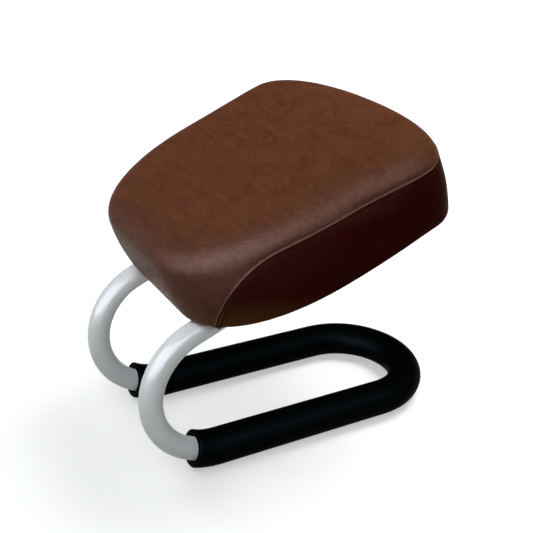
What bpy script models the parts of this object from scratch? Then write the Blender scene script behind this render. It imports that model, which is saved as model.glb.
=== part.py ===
# Kneeling meditation stool: one bent steel tube, a foam floor sleeve and an upholstered seat.
# Metres, +Z up, the sitter faces -Y. The floor is z = 0 and the origin is the middle of the
# footprint. The seat's own pieces are drawn on its underside plane and tilted with it.

import math

import bmesh
import bpy
import numpy as np
from mathutils import Matrix, Vector

# Clearances
FIT = 0.0003             # between touching hard pieces
SOFT_FIT = 0.0008        # between the foam and the cover around it
SEAM_GAP = 0.0006        # between the two panels of the cover, up the side of the seat

# Frame tube, one length bent three times on one die
TUBE_OD = 0.0254
TUBE_WALL = 0.0016
BEND_RADIUS = 0.0762     # centreline of every bend
FLOOR_RUN = 0.220        # straight legs on the floor
FRONT_TURN = math.radians(157.5)
ARM_SET_BACK = 0.042     # the arms end this far before the seat's rear edge
BEND_STEP = math.radians(11.25)   # facets of the bends
TUBE_SIDES = 20

# Foam sleeve on the floor loop
SLEEVE_OD = 0.041
SLEEVE_FLAT = 0.0005     # pressed flat where it stands
SLEEVE_TURN_RIGHT = math.radians(23.5)   # how far each end climbs its front bend
SLEEVE_TURN_LEFT = math.radians(29.0)

# Plugs in the open ends of the arms
PLUG_HEAD = 0.0028
PLUG_STEM = 0.015
PLUG_SKIN = 0.0015
PLUG_RIB = 0.0005
PLUG_RIBS = 2

# Seat board and fastenings
BOARD = 0.012
BOARD_EDGE_GAP = 0.0025  # foam and cover stand this far outside the board
BOARD_ROUND = 0.002
DUST_SHEET = 0.0006
DUST_INSET = 0.012
FASTENER_SIDES = 16
BOLT_FRONT = 0.046       # along the arms from the front bend
BOLT_FROM_END = 0.040
BOLT_D = 0.006
BOLT_LENGTH = 0.040
BOLT_HEAD_D = 0.0105
BOLT_HEAD = 0.0033
SOCKET_AF = 0.004
SOCKET_DEPTH = 0.002
WASHER_D = 0.014
WASHER_WAIST = 0.0015    # under the middle of the tube
NUT_FLANGE_D = 0.019
NUT_FLANGE = 0.0012
NUT_BARREL_D = 0.0080
NUT_BARREL = 0.009
PRONG = (0.0026, 0.0012, 0.006)

# Seat plan at the underside: the right half, from the front centre to the rear centre
COVER = 0.0012
SEAT_FRONT = 0.0024
SEAT_LENGTH = 0.3016
SEAT_HALF = 0.1628
HIP_IN = 0.001           # the widest place behind the shoulder is this much narrower
FRONT_FLAT = 0.059       # half of the straight front edge
SHOULDER = 0.144         # from the front edge to the end of the long front corner
SIDE_RUN = 0.1067
CORNER_PULL = (0.043, 0.110)
SIDE_PULL = (0.060, 0.020)
REAR_PULL = (0.053, 0.058)
SHOULDER_SPLAY = 0.046

# How the plan changes from the underside up to the brim of the seat
BRIM_FORWARD = 0.004
BRIM_BACK = 0.010
BRIM_IN = 0.009
BRIM_OUT = 0.0025

# Seat section
BRIM_HEIGHT = 0.0674
BRIM_FALL = 0.0019       # lower at the rear end
SIDE_BULGE = 0.0018
ROLL_IN = 0.0306         # the rolled edge, inwards and up
ROLL_UP = 0.0168
LENGTH_BOW = 0.0073
CROWN = 0.006
CROWN_BACK = 0.003       # the crown's middle lies this far behind the seat's

# Cover
FOLD = 0.0026            # radius of the fold round the bottom edge
MARGIN = 0.022           # turned under the board
SEAM_FOOT_X = 0.106      # where the side seam starts at the bottom front corner
SEAM_SWEEP = 0.104       # along the edge from there to where it reaches the brim
SEAM_POWER = 2.4
TIP = 0.0013             # height of the band's cut tip above the fold

# Worked-out sizes
ARM_LENGTH = SEAT_FRONT + SEAT_LENGTH - ARM_SET_BACK
BOLT_REAR = ARM_LENGTH - BOLT_FROM_END
LEG_X = BEND_RADIUS
AXIS_Z = SLEEVE_OD / 2 - SLEEVE_FLAT
TILT = math.pi - FRONT_TURN
FRONT_Y = -(BEND_RADIUS + TUBE_OD / 2)
REAR_Y = FLOOR_RUN + BEND_RADIUS + SLEEVE_OD / 2
SHIFT = Vector((0, -(FRONT_Y + REAR_Y) / 2, 0))
STACK = DUST_SHEET + 2 * FIT
ARM_H = -(STACK + TUBE_OD / 2)
BOARD_LOW = COVER + FIT
BOARD_TOP = BOARD_LOW + BOARD
BEARING = ARM_H - TUBE_OD / 2 - FIT - WASHER_WAIST - FIT
BOLT_SPOTS = [
    ("front_left", -LEG_X, BOLT_FRONT),
    ("front_right", LEG_X, BOLT_FRONT),
    ("rear_left", -LEG_X, BOLT_REAR),
    ("rear_right", LEG_X, BOLT_REAR),
]

for old in list(bpy.data.objects):
    bpy.data.objects.remove(old, do_unlink=True)

stool = bpy.data.collections.new("kneeling_stool")
cutters = bpy.data.collections.new("cutters")
bpy.context.scene.collection.children.link(stool)
bpy.context.scene.collection.children.link(cutters)


def material(name, color, roughness, metallic=0.0):
    mat = bpy.data.materials.new(name)
    mat.use_nodes = True
    shader = mat.node_tree.nodes["Principled BSDF"]
    shader.inputs["Base Color"].default_value = (*color, 1)
    shader.inputs["Roughness"].default_value = roughness
    shader.inputs["Metallic"].default_value = metallic
    return mat


PEARL = material("pearl_white_paint", (0.62, 0.67, 0.72), 0.32)
FOAM_BLACK = material("black_closed_cell_foam", (0.006, 0.007, 0.009), 0.85)
LEATHER = material("brown_leatherette", (0.12, 0.040, 0.018), 0.45)
BAND = material("brown_leatherette_side", (0.11, 0.036, 0.017), 0.45)
PLYWOOD = material("birch_plywood", (0.55, 0.40, 0.24), 0.7)
CUSHION = material("cream_seat_foam", (0.80, 0.74, 0.52), 0.95)
FELT = material("black_dust_sheet", (0.012, 0.012, 0.012), 0.95)
ZINC = material("zinc_plated_steel", (0.55, 0.56, 0.57), 0.38, 1.0)
PLUG = material("black_plug_plastic", (0.015, 0.015, 0.016), 0.5)


# Objects and Booleans

def place(name, mesh, mat=None, parent=None, location=(0, 0, 0), cutter=False):
    """An object of the stool, or a hidden cutter."""
    obj = bpy.data.objects.new(name, mesh)
    (cutters if cutter else stool).objects.link(obj)
    obj.parent = parent
    obj.location = location
    if cutter:
        obj.hide_render = True
        obj.display_type = "WIRE"
    else:
        mesh.materials.append(mat)
        mesh.shade_smooth()
        mesh.set_sharp_from_angle(angle=math.radians(35))
    return obj


def cut(obj, cutter, operation="DIFFERENCE"):
    mod = obj.modifiers.new(operation.lower() + "_" + cutter.name, "BOOLEAN")
    mod.operation = operation
    mod.solver = "EXACT"
    mod.object = cutter


def finish(bm, name):
    mesh = bpy.data.meshes.new(name)
    bm.to_mesh(mesh)
    bm.free()
    return mesh


def cylinder(name, radius, low, high, sides=FASTENER_SIDES, spots=((0, 0),), turn=None):
    """Upright round rods from low to high, one at each spot."""
    bm = bmesh.new()
    for x, y in spots:
        where = Matrix.Translation((x, y, (low + high) / 2))
        bmesh.ops.create_cone(
            bm, cap_ends=True, segments=sides, radius1=radius, radius2=radius,
            depth=high - low, matrix=where @ (turn or Matrix()))
    return finish(bm, name)


def turned(name, profile):
    """The profile of a turned solid, run down its outer side."""
    bm = bmesh.new()
    points = [bm.verts.new((r, 0, z)) for r, z in profile]
    for low, high in zip(points, points[1:]):
        bm.edges.new((low, high))
    return finish(bm, name)


def add_screw(obj, sides=FASTENER_SIDES):
    mod = obj.modifiers.new("turn", "SCREW")
    mod.axis = "Z"
    mod.steps = sides
    mod.render_steps = sides
    mod.use_merge_vertices = True
    mod.merge_threshold = 0.00001
    mod.use_smooth_shade = True


def mesh_of_curve(name, curve):
    """The curve's solid as a mesh with welded caps."""
    guide = bpy.data.objects.new(name, curve)
    bpy.context.scene.collection.objects.link(guide)
    bpy.context.view_layer.update()
    evaluated = guide.evaluated_get(bpy.context.evaluated_depsgraph_get())
    mesh = bpy.data.meshes.new_from_object(evaluated)
    bm = bmesh.new()
    bm.from_mesh(mesh)
    bmesh.ops.remove_doubles(bm, verts=bm.verts, dist=0.00001)
    bm.to_mesh(mesh)
    bm.free()
    mesh.name = name
    mesh.materials.clear()
    bpy.data.objects.remove(guide, do_unlink=True)
    bpy.data.curves.remove(curve)
    return mesh


def skin_along(name, points, radius):
    """The skin of a round pipe along a line of points, open at both ends."""
    curve = bpy.data.curves.new(name, "CURVE")
    curve.dimensions = "3D"
    curve.bevel_depth = radius
    curve.bevel_resolution = TUBE_SIDES // 2 - 2
    spline = curve.splines.new("POLY")
    spline.points.add(len(points) - 1)
    for point, place_at in zip(spline.points, points):
        point.co = (*place_at, 1)
    return mesh_of_curve(name, curve)


def hollow_pipe(name, points, radius, wall):
    """A round pipe along a line of points, its bore on the same facets as its outside."""
    outer = skin_along(name, points, radius)
    inner = skin_along(name + "_bore", points, radius - wall)
    bm = bmesh.new()
    bm.from_mesh(inner)
    bmesh.ops.reverse_faces(bm, faces=bm.faces)
    bm.from_mesh(outer)
    bpy.data.meshes.remove(inner)
    for end in (points[0], points[-1]):
        rims = [e for e in bm.edges if e.is_boundary
                and (e.verts[0].co - end).length < radius + wall]
        bmesh.ops.bridge_loops(bm, edges=rims)
    bm.to_mesh(outer)
    bm.free()
    return outer


def sheet(name, outline, low, high):
    """A flat piece with a closed outline."""
    curve = bpy.data.curves.new(name, "CURVE")
    curve.dimensions = "2D"
    curve.fill_mode = "BOTH"
    curve.extrude = (high - low) / 2
    spline = curve.splines.new("POLY")
    spline.points.add(len(outline) - 1)
    for point, (x, y) in zip(spline.points, outline):
        point.co = (x, y, 0, 1)
    spline.use_cyclic_u = True
    mesh = mesh_of_curve(name, curve)
    mesh.transform(Matrix.Translation((0, 0, (low + high) / 2)))
    return mesh


def mirrored(obj):
    mod = obj.modifiers.new("mirror", "MIRROR")
    mod.use_axis = (True, False, False)
    mod.merge_threshold = 0.00001


def thickened(obj, thickness):
    mod = obj.modifiers.new("wall", "SOLIDIFY")
    mod.thickness = thickness
    mod.offset = -1
    mod.use_even_offset = True


# Frame tube and floor sleeve

def front_bend(side, turn):
    """Centreline of a front bend from the floor up to the given turn, on the tube's own facets."""
    steps = round(FRONT_TURN / BEND_STEP)
    stations = []
    for i in range(steps + 1):
        a = FRONT_TURN * i / steps
        stations.append(Vector((
            side * LEG_X, -BEND_RADIUS * math.sin(a), AXIS_Z + BEND_RADIUS * (1 - math.cos(a)))))
    reached = turn / FRONT_TURN * steps
    whole = min(steps, math.floor(reached + 0.001))
    points = stations[:whole + 1]
    if reached - whole > 0.001:
        points.append(stations[whole].lerp(stations[whole + 1], reached - whole))
    return points


def rear_bend():
    steps = round(math.pi / BEND_STEP)
    points = []
    for i in range(steps + 1):
        a = math.pi * i / steps
        points.append(Vector((LEG_X * math.cos(a), FLOOR_RUN + BEND_RADIUS * math.sin(a), AXIS_Z)))
    return points


def loop_path(turn_right, turn_left):
    """Centreline from the right front bend round the floor loop to the left front bend."""
    path = front_bend(1, turn_right)[::-1] + rear_bend() + front_bend(-1, turn_left)
    return [point + SHIFT for point in path]


def make_frame(bolt_holes):
    along_arm = Vector((0, math.cos(TILT), math.sin(TILT))) * ARM_LENGTH
    path = loop_path(FRONT_TURN, FRONT_TURN)
    path = [path[0] + along_arm] + path + [path[-1] + along_arm]
    tube = place("frame_tube", hollow_pipe("frame_tube", path, TUBE_OD / 2, TUBE_WALL), PEARL)
    cut(tube, bolt_holes)


def make_sleeve():
    path = loop_path(SLEEVE_TURN_RIGHT, SLEEVE_TURN_LEFT)
    wall = (SLEEVE_OD - TUBE_OD) / 2 - FIT
    sleeve = place("foam_sleeve", hollow_pipe("foam_sleeve", path, SLEEVE_OD / 2, wall), FOAM_BLACK)
    bm = bmesh.new()
    size = (4 * LEG_X, 2 * (REAR_Y - FRONT_Y), SLEEVE_OD)
    where = Matrix.Translation((0, 0, -size[2] / 2)) @ Matrix.Diagonal((*size, 1))
    bmesh.ops.create_cube(bm, size=1, matrix=where)
    cut(sleeve, place("floor_block", finish(bm, "floor_block"), cutter=True))


def make_plugs(seat):
    bore = TUBE_OD / 2 - TUBE_WALL - FIT
    stem = bore - PLUG_RIB
    rib = PLUG_STEM / (2 * PLUG_RIBS)
    profile = [(0, PLUG_HEAD), (0.6 * TUBE_OD / 2, PLUG_HEAD * 0.92),
               (0.92 * TUBE_OD / 2, PLUG_HEAD * 0.6), (TUBE_OD / 2, 0), (stem, 0)]
    for i in range(PLUG_RIBS):
        start = -rib * (2 * i + 0.5)
        profile += [(stem, start), (bore, start - rib * 0.2), (stem, start - rib)]
    profile += [(stem, -PLUG_STEM), (stem - PLUG_SKIN, -PLUG_STEM), (stem - PLUG_SKIN, -PLUG_SKIN),
                (0, -PLUG_SKIN)]
    for name, x in (("tube_end_plug_left", -LEG_X), ("tube_end_plug_right", LEG_X)):
        plug = place(name, turned(name, profile), PLUG, seat, (x, ARM_LENGTH + FIT, ARM_H))
        plug.rotation_euler = (-math.pi / 2, 0, 0)
        add_screw(plug, TUBE_SIDES)


# Seat shape

def bezier(start, pull_a, pull_b, end, steps):
    t = np.linspace(0, 1, steps + 1)[:, None]
    s = 1 - t
    a, b, c, d = (np.array(p) for p in (start, pull_a, pull_b, end))
    return s**3 * a + 3 * s * s * t * b + 3 * s * t * t * c + t**3 * d


def half_plan(forward, back, inward, outward):
    """Right half of the seat's plan as fine points, front centre to rear centre."""
    front = SEAT_FRONT - forward
    shoulder = SEAT_FRONT + SHOULDER
    side = shoulder + SIDE_RUN
    rear = SEAT_FRONT + SEAT_LENGTH + back
    wide, hip = SEAT_HALF - inward, SEAT_HALF - HIP_IN + outward
    lean = (math.sin(SHOULDER_SPLAY), math.cos(SHOULDER_SPLAY))
    flat = bezier((0, front), (FRONT_FLAT / 3, front), (FRONT_FLAT * 2 / 3, front),
                  (FRONT_FLAT, front), 20)
    corner = bezier((FRONT_FLAT, front), (FRONT_FLAT + CORNER_PULL[0], front),
                    (wide - lean[0] * CORNER_PULL[1], shoulder - lean[1] * CORNER_PULL[1]),
                    (wide, shoulder), 60)
    flank = bezier((wide, shoulder),
                   (wide + lean[0] * SIDE_PULL[0], shoulder + lean[1] * SIDE_PULL[0]),
                   (hip, side - SIDE_PULL[1]), (hip, side), 40)
    tail = bezier((hip, side), (hip, side + REAR_PULL[0]), (REAR_PULL[1], rear), (0, rear), 60)
    return np.vstack([flat[:-1], corner[:-1], flank[:-1], tail])


def outward_normals(plan):
    along = np.gradient(plan, axis=0)
    along /= np.linalg.norm(along, axis=1)[:, None]
    normals = np.column_stack([along[:, 1], -along[:, 0]])
    normals[0] = (0, -1)
    normals[-1] = (0, 1)
    return normals


foot_plan = half_plan(0, 0, 0, 0)
brim_plan = half_plan(BRIM_FORWARD, BRIM_BACK, BRIM_IN, BRIM_OUT)
foot_normal = outward_normals(foot_plan)
brim_normal = outward_normals(brim_plan)
run = np.concatenate([[0], np.cumsum(np.linalg.norm(np.diff(foot_plan, axis=0), axis=1))])
half_run = run[-1]
seam_foot = np.interp(SEAM_FOOT_X, foot_plan[:60, 0], run[:60])
hip_run = run[120]
SEAT_MID = Vector((0, SEAT_FRONT + SEAT_LENGTH / 2 + CROWN_BACK, 0))


def at_run(table, s):
    """A value of the plan at the distance s along the bottom edge from the front centre."""
    return Vector((np.interp(s, run, table[:, 0]), np.interp(s, run, table[:, 1])))


def brim_height(y):
    return BRIM_HEIGHT - BRIM_FALL * y / SEAT_LENGTH


def bow(y):
    middle = SEAT_FRONT + SEAT_LENGTH / 2
    return LENGTH_BOW * (1 - ((y - middle) / (SEAT_LENGTH / 2 + BRIM_BACK)) ** 2)


def side_point(s, height, inset=0.0):
    """A point of the seat's side wall at a height over the underside."""
    foot, brim = at_run(foot_plan, s), at_run(brim_plan, s)
    q = height / brim_height(foot.y)
    out = at_run(foot_normal, s).lerp(at_run(brim_normal, s), q).normalized()
    spot = foot.lerp(brim, q) + out * (SIDE_BULGE * math.sin(math.pi * q) - inset)
    return Vector((spot.x, spot.y, height))


def roll_point(s, angle, inset=0.0):
    """A point of the rolled edge, from the brim at 0 to the top at a right angle."""
    brim, out = at_run(brim_plan, s), at_run(brim_normal, s)
    inward = inset + (ROLL_IN - inset) * (1 - math.cos(angle))
    up = (ROLL_UP - inset + bow(brim.y)) * math.sin(angle)
    spot = brim - out * inward
    return Vector((spot.x, spot.y, brim_height(at_run(foot_plan, s).y) + up))


def top_point(s, share, inset=0.0):
    """A point of the crowned top; share is 1 at the rolled edge and 0 at the middle."""
    edge = roll_point(s, math.pi / 2, inset)
    spot = SEAT_MID.lerp(edge, share)
    height = brim_height(spot.y) + ROLL_UP - inset + bow(spot.y) + CROWN * (1 - share * share)
    return Vector((spot.x, spot.y, height))


def seam_height(s):
    """Height of the seam between the two panels of the cover."""
    full = brim_height(at_run(foot_plan, s).y)
    t = min(1.0, max(0.0, (s - seam_foot) / SEAM_SWEEP))
    return full * (1 - (1 - t) ** SEAM_POWER)


def tip_run():
    """Where the seam has climbed to the top of the band's cut tip."""
    t = 1 - (1 - (FOLD + TIP) / brim_height(0)) ** (1 / SEAM_POWER)
    return seam_foot + SEAM_SWEEP * t


# Columns of the seat's surfaces, as distances along the bottom edge
front_columns = list(np.linspace(0, FRONT_FLAT, 4)) + list(np.linspace(FRONT_FLAT, tip_run(), 5))[1:]
sweep_columns = list(np.linspace(tip_run(), seam_foot + SEAM_SWEEP, 8))[1:]
flank_columns = list(np.linspace(seam_foot + SEAM_SWEEP, hip_run, 5))[1:]
rear_columns = list(np.linspace(hip_run, half_run, 13))[1:]
all_columns = front_columns + sweep_columns + flank_columns + rear_columns

ROLL_ANGLES = [math.radians(a) for a in (22.5, 45, 67.5, 90)]
TOP_SHARES = [0.66, 0.32]


def fold_rows(s):
    """The turned-under margin and the fold round the bottom edge."""
    foot, out = at_run(foot_plan, s), at_run(foot_normal, s)
    small = FOLD * (1 - math.sqrt(0.5))
    rows = []
    for inset, height in ((MARGIN, 0), (FOLD, 0), (small, small)):
        spot = foot - out * inset
        rows.append(Vector((spot.x, spot.y, height)))
    return rows + [side_point(s, FOLD)]


def dome_rows(s, inset=0.0):
    """From the brim over the rolled edge and up the crown, the middle left out."""
    height = brim_height(at_run(foot_plan, s).y)
    rows = [side_point(s, height, inset)]
    rows += [roll_point(s, a, inset) for a in ROLL_ANGLES]
    return rows + [top_point(s, share, inset) for share in TOP_SHARES]


def add_grid(bm, columns):
    """Faces between neighbouring columns of points."""
    grid = [[bm.verts.new(point) for point in column] for column in columns]
    for here, there in zip(grid, grid[1:]):
        for i in range(len(here) - 1):
            bm.faces.new((here[i], there[i], there[i + 1], here[i + 1]))
    return grid


def add_fan(bm, rim, middle):
    apex = bm.verts.new(middle)
    for here, there in zip(rim, rim[1:]):
        bm.faces.new((here, there, apex))


def make_top_panel(seat):
    bm = bmesh.new()
    rim = add_grid(bm, [dome_rows(s) for s in all_columns])
    add_fan(bm, [column[-1] for column in rim], top_point(0, 0))
    apron = []
    for s in front_columns + sweep_columns:
        low = max(FOLD + TIP, seam_height(s))
        high = brim_height(at_run(foot_plan, s).y)
        apron.append([side_point(s, low + (high - low) * k / 3) for k in range(4)])
    add_grid(bm, apron)
    add_grid(bm, [fold_rows(s) + [side_point(s, FOLD + TIP)] for s in front_columns])
    bmesh.ops.remove_doubles(bm, verts=bm.verts, dist=0.000002)
    panel = place("cover_top_panel", finish(bm, "cover_top_panel"), LEATHER, seat)
    mirrored(panel)
    thickened(panel, COVER)


def make_side_band(seat):
    bm = bmesh.new()
    columns = [tip_run() + FIT] + sweep_columns + flank_columns + rear_columns
    band = []
    for s in columns:
        high = max(FOLD + TIP, seam_height(s)) - SEAM_GAP
        rows = [side_point(s, FOLD + (high - FOLD) * k / 3) for k in range(1, 4)]
        band.append(fold_rows(s) + rows)
    add_grid(bm, band)
    panel = place("cover_side_band", finish(bm, "cover_side_band"), BAND, seat)
    mirrored(panel)
    thickened(panel, COVER)


def make_foam(seat):
    """Moulded foam glued on the board: flat below, crowned above."""
    inset = COVER + SOFT_FIT
    bm = bmesh.new()
    low = BOARD_TOP + FIT
    columns = []
    for s in all_columns:
        middle = (low + brim_height(at_run(foot_plan, s).y)) / 2
        wall = [side_point(s, low, inset), side_point(s, middle, inset)]
        columns.append(wall + dome_rows(s, inset))
    grid = add_grid(bm, columns)
    add_fan(bm, [column[-1] for column in grid], top_point(0, 0, inset))
    bm.faces.new([column[0] for column in reversed(grid)])
    foam = place("seat_foam", finish(bm, "seat_foam"), CUSHION, seat)
    mirrored(foam)


def whole_outline(inset):
    """The closed plan at the underside, drawn in all round."""
    right = []
    for s in all_columns:
        if s < FRONT_FLAT:
            continue
        spot = at_run(foot_plan, s) - at_run(foot_normal, s) * inset
        right.append((spot.x, spot.y))
    left = [(-x, y) for x, y in right[-2::-1]]
    return right + left


def make_board(seat, barrel_holes, flange_seats, prong_slots):
    outline = whole_outline(COVER + BOARD_EDGE_GAP)
    mesh = sheet("seat_board", outline, BOARD_LOW, BOARD_TOP)
    bm = bmesh.new()
    bm.from_mesh(mesh)
    low = [e for e in bm.edges if len(e.link_faces) == 2 and e.calc_face_angle() > 1.2
           and all(abs(v.co.z - BOARD_LOW) < 0.00001 for v in e.verts)]
    bmesh.ops.bevel(bm, geom=low, offset=BOARD_ROUND, segments=2, profile=0.5, affect="EDGES",
                    material=-1)
    bm.to_mesh(mesh)
    bm.free()
    board = place("seat_board", mesh, PLYWOOD, seat)
    for cutter in (barrel_holes, flange_seats, prong_slots):
        cut(board, cutter)


# Fastenings through the arms

def make_bolt_cutters(seat):
    spots = [(x, y) for _, x, y in BOLT_SPOTS]
    reach = 2 * BOLT_LENGTH
    bolt_holes = place("bolt_holes", cylinder(
        "bolt_holes", BOLT_D / 2 + FIT, -reach, reach, spots=spots), cutter=True, parent=seat)
    barrels = place("barrel_holes", cylinder(
        "barrel_holes", NUT_BARREL_D / 2 + FIT, -reach, reach, spots=spots), cutter=True, parent=seat)
    flanges = place("flange_seats", cylinder(
        "flange_seats", NUT_FLANGE_D / 2 + FIT, BOARD_TOP - NUT_FLANGE - FIT, BOARD_TOP + BOARD,
        spots=spots), cutter=True, parent=seat)
    bm = bmesh.new()
    for x, y in spots:
        add_prongs(bm, x, y, FIT)
    slots = place("prong_slots", finish(bm, "prong_slots"), cutter=True, parent=seat)
    return bolt_holes, barrels, flanges, slots


def add_prongs(bm, x, y, clearance):
    """Four spikes of a T-nut, bent down from its flange into the board."""
    wide, thick, deep = PRONG
    top = BOARD_TOP - NUT_FLANGE / 2
    bottom = BOARD_TOP - NUT_FLANGE - deep - clearance
    size = (thick + 2 * clearance, wide + 2 * clearance, top - bottom)
    reach = NUT_FLANGE_D / 2 - thick
    for i in range(4):
        turn = Matrix.Rotation(i * math.pi / 2, 4, "Z")
        where = Matrix.Translation((x, y, 0)) @ turn @ Matrix.Translation((reach, 0, (top + bottom) / 2))
        bmesh.ops.create_cube(bm, size=1, matrix=where @ Matrix.Diagonal((*size, 1)))


def make_tee_nuts(seat):
    bore = BOLT_D / 2 + FIT
    barrel = NUT_BARREL_D / 2
    flange = NUT_FLANGE_D / 2
    low = BOARD_TOP - NUT_FLANGE - NUT_BARREL
    under = BOARD_TOP - NUT_FLANGE
    for name, x, y in BOLT_SPOTS:
        ring = [(bore, BOARD_TOP), (flange, BOARD_TOP), (flange, under), (barrel, under),
                (barrel, low), (bore, low), (bore, BOARD_TOP)]
        nut = place("tee_nut_" + name, turned("tee_nut", ring), ZINC, seat, (x, y, 0))
        add_screw(nut)
        bm = bmesh.new()
        add_prongs(bm, x, y, 0)
        spikes = place("spikes_" + name, finish(bm, "spikes"), cutter=True, parent=seat)
        cut(nut, spikes, "UNION")


def make_bolts(seat):
    r, head = BOLT_D / 2, BOLT_HEAD_D / 2
    top = BEARING + BOLT_LENGTH
    profile = [(0, top), (r * 0.8, top), (r, top - r * 0.2), (r, BEARING), (head, BEARING)]
    for i in range(1, 5):
        a = math.radians(20 * i)
        profile.append((head * (0.45 + 0.55 * math.cos(a)), BEARING - BOLT_HEAD * math.sin(a)))
    profile.append((0, BEARING - BOLT_HEAD * math.sin(math.radians(80))))
    spots = [(x, y) for _, x, y in BOLT_SPOTS]
    sockets = place("hex_sockets", cylinder(
        "hex_sockets", SOCKET_AF / math.sqrt(3), BEARING - 2 * BOLT_HEAD,
        BEARING - BOLT_HEAD + SOCKET_DEPTH, sides=6, spots=spots), cutter=True, parent=seat)
    for name, x, y in BOLT_SPOTS:
        bolt = place("bolt_" + name, turned("bolt", profile), ZINC, seat, (x, y, 0))
        add_screw(bolt)
        cut(bolt, sockets)


def make_washers(seat, bolt_holes):
    along = Matrix.Rotation(math.pi / 2, 4, "X")
    low = BEARING + FIT
    for side in (-1, 1):
        groove = place("arm_groove", cylinder(
            "arm_groove", TUBE_OD / 2 + FIT, -ARM_LENGTH, ARM_LENGTH, sides=48, turn=along),
            cutter=True, parent=seat, location=(side * LEG_X, ARM_LENGTH / 2, ARM_H))
        for name, x, y in BOLT_SPOTS:
            if x * side < 0:
                continue
            disc = cylinder("saddle_washer", WASHER_D / 2, low, ARM_H, spots=((x, y),))
            washer = place("saddle_washer_" + name, disc, ZINC, seat)
            cut(washer, groove)
            cut(washer, bolt_holes)


def make_dust_sheet(seat, bolt_holes):
    mesh = sheet("dust_sheet", whole_outline(DUST_INSET), -FIT - DUST_SHEET, -FIT)
    dust = place("dust_sheet", mesh, FELT, seat)
    cut(dust, bolt_holes)


# The stool

arm_start = front_bend(0, FRONT_TURN)[-1]
seat_up = Vector((0, -math.sin(TILT), math.cos(TILT)))
seat_plane = bpy.data.objects.new("seat_plane", None)
stool.objects.link(seat_plane)
seat_plane.location = arm_start + SHIFT + seat_up * (TUBE_OD / 2 + STACK)
seat_plane.rotation_euler = (TILT, 0, 0)

bolt_cutter, barrel_cutter, flange_cutter, prong_cutter = make_bolt_cutters(seat_plane)
make_frame(bolt_cutter)
make_sleeve()
make_plugs(seat_plane)
make_board(seat_plane, barrel_cutter, flange_cutter, prong_cutter)
make_foam(seat_plane)
make_top_panel(seat_plane)
make_side_band(seat_plane)
make_dust_sheet(seat_plane, bolt_cutter)
make_tee_nuts(seat_plane)
make_bolts(seat_plane)
make_washers(seat_plane, bolt_cutter)
bpy.context.view_layer.update()
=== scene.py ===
import math
import random

import bmesh
import bpy
import numpy as np
from mathutils import Matrix, Vector


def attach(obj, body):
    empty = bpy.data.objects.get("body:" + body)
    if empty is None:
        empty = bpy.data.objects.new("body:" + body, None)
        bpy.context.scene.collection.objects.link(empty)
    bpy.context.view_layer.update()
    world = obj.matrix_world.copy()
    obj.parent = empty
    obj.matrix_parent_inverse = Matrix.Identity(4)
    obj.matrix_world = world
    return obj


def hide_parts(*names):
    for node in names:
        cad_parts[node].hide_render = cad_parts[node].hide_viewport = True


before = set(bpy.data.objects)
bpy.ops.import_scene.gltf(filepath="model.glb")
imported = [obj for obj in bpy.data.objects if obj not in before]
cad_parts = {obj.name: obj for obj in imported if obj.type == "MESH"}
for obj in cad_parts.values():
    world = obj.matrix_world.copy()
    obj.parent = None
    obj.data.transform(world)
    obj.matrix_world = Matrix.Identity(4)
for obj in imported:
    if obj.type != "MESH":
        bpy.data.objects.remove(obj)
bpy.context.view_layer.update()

random.seed(7)

# the stool's main sizes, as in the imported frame; metres
stool = {
    "tubeRadius": 0.0127,
    "tubeWall": 0.0016,
    "bendRadius": 0.0762,
    "floorRun": 0.220,
    "frontTurn": math.radians(157.5),
    "armLength": 0.262,
    "axisHeight": 0.020,
    "shift": -0.1139,        # the first front bend starts this far from the middle
    "seatRise": 0.0139,      # from the arms' middle line to the underside of the seat
    "slope": math.radians(22.5),
    "fit": 0.0003,           # clearance between pieces that touch
    "boltHole": 0.0033,      # radius
}

legX = stool["bendRadius"]
armStart = Vector((
    0,
    stool["shift"] - stool["bendRadius"] * math.sin(stool["frontTurn"]),
    stool["axisHeight"] + stool["bendRadius"] * (1 - math.cos(stool["frontTurn"]))))
armWay = Vector((0, math.cos(stool["slope"]), math.sin(stool["slope"])))
seatUp = Vector((0, -math.sin(stool["slope"]), math.cos(stool["slope"])))
# seat space has its origin on the underside, y along the arms and z up through the cushion
seatStart = Matrix.Translation(armStart + seatUp * stool["seatRise"])
seatFrame = seatStart @ Matrix.Rotation(stool["slope"], 4, "X")
armHeight = -stool["seatRise"]


# Shader node helpers and groups

def feed(tree, socket, value):
    # a number, a colour, a vector or another node's output into one socket
    if isinstance(value, bpy.types.NodeSocket):
        tree.links.new(value, socket)
    else:
        socket.default_value = (*value, 1) if socket.type == "RGBA" else value


def setInputs(tree, node, **inputs):
    for label, value in inputs.items():
        feed(tree, node.inputs[label.replace("_", " ")], value)
    return node


def addNode(tree, kind, **inputs):
    return setInputs(tree, tree.nodes.new("ShaderNode" + kind), **inputs)


def noiseNode(tree, vector, scale, detail=4.0, roughness=0.55):
    node = addNode(tree, "TexNoise", Vector=vector, Scale=scale, Detail=detail, Roughness=roughness)
    return node.outputs["Fac"]


def mathNode(tree, operation, *values, kind="Math"):
    node = addNode(tree, kind)
    node.operation = operation
    for socket, value in zip(node.inputs, values):
        feed(tree, socket, value)
    return node


def multiply(tree, first, second):
    return mathNode(tree, "MULTIPLY", first, second).outputs[0]


def remapNode(tree, value, low, high, toLow, toHigh, smooth=False):
    node = addNode(tree, "MapRange", Value=value, From_Min=low, From_Max=high, To_Min=toLow, To_Max=toHigh)
    node.interpolation_type = "SMOOTHSTEP" if smooth else "LINEAR"
    return node.outputs["Result"]


def mixColors(tree, factor, first, second):
    node = addNode(tree, "Mix")
    node.data_type = "RGBA"
    for number, value in ((0, factor), (6, first), (7, second)):
        feed(tree, node.inputs[number], value)
    return node.outputs[2]


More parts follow.
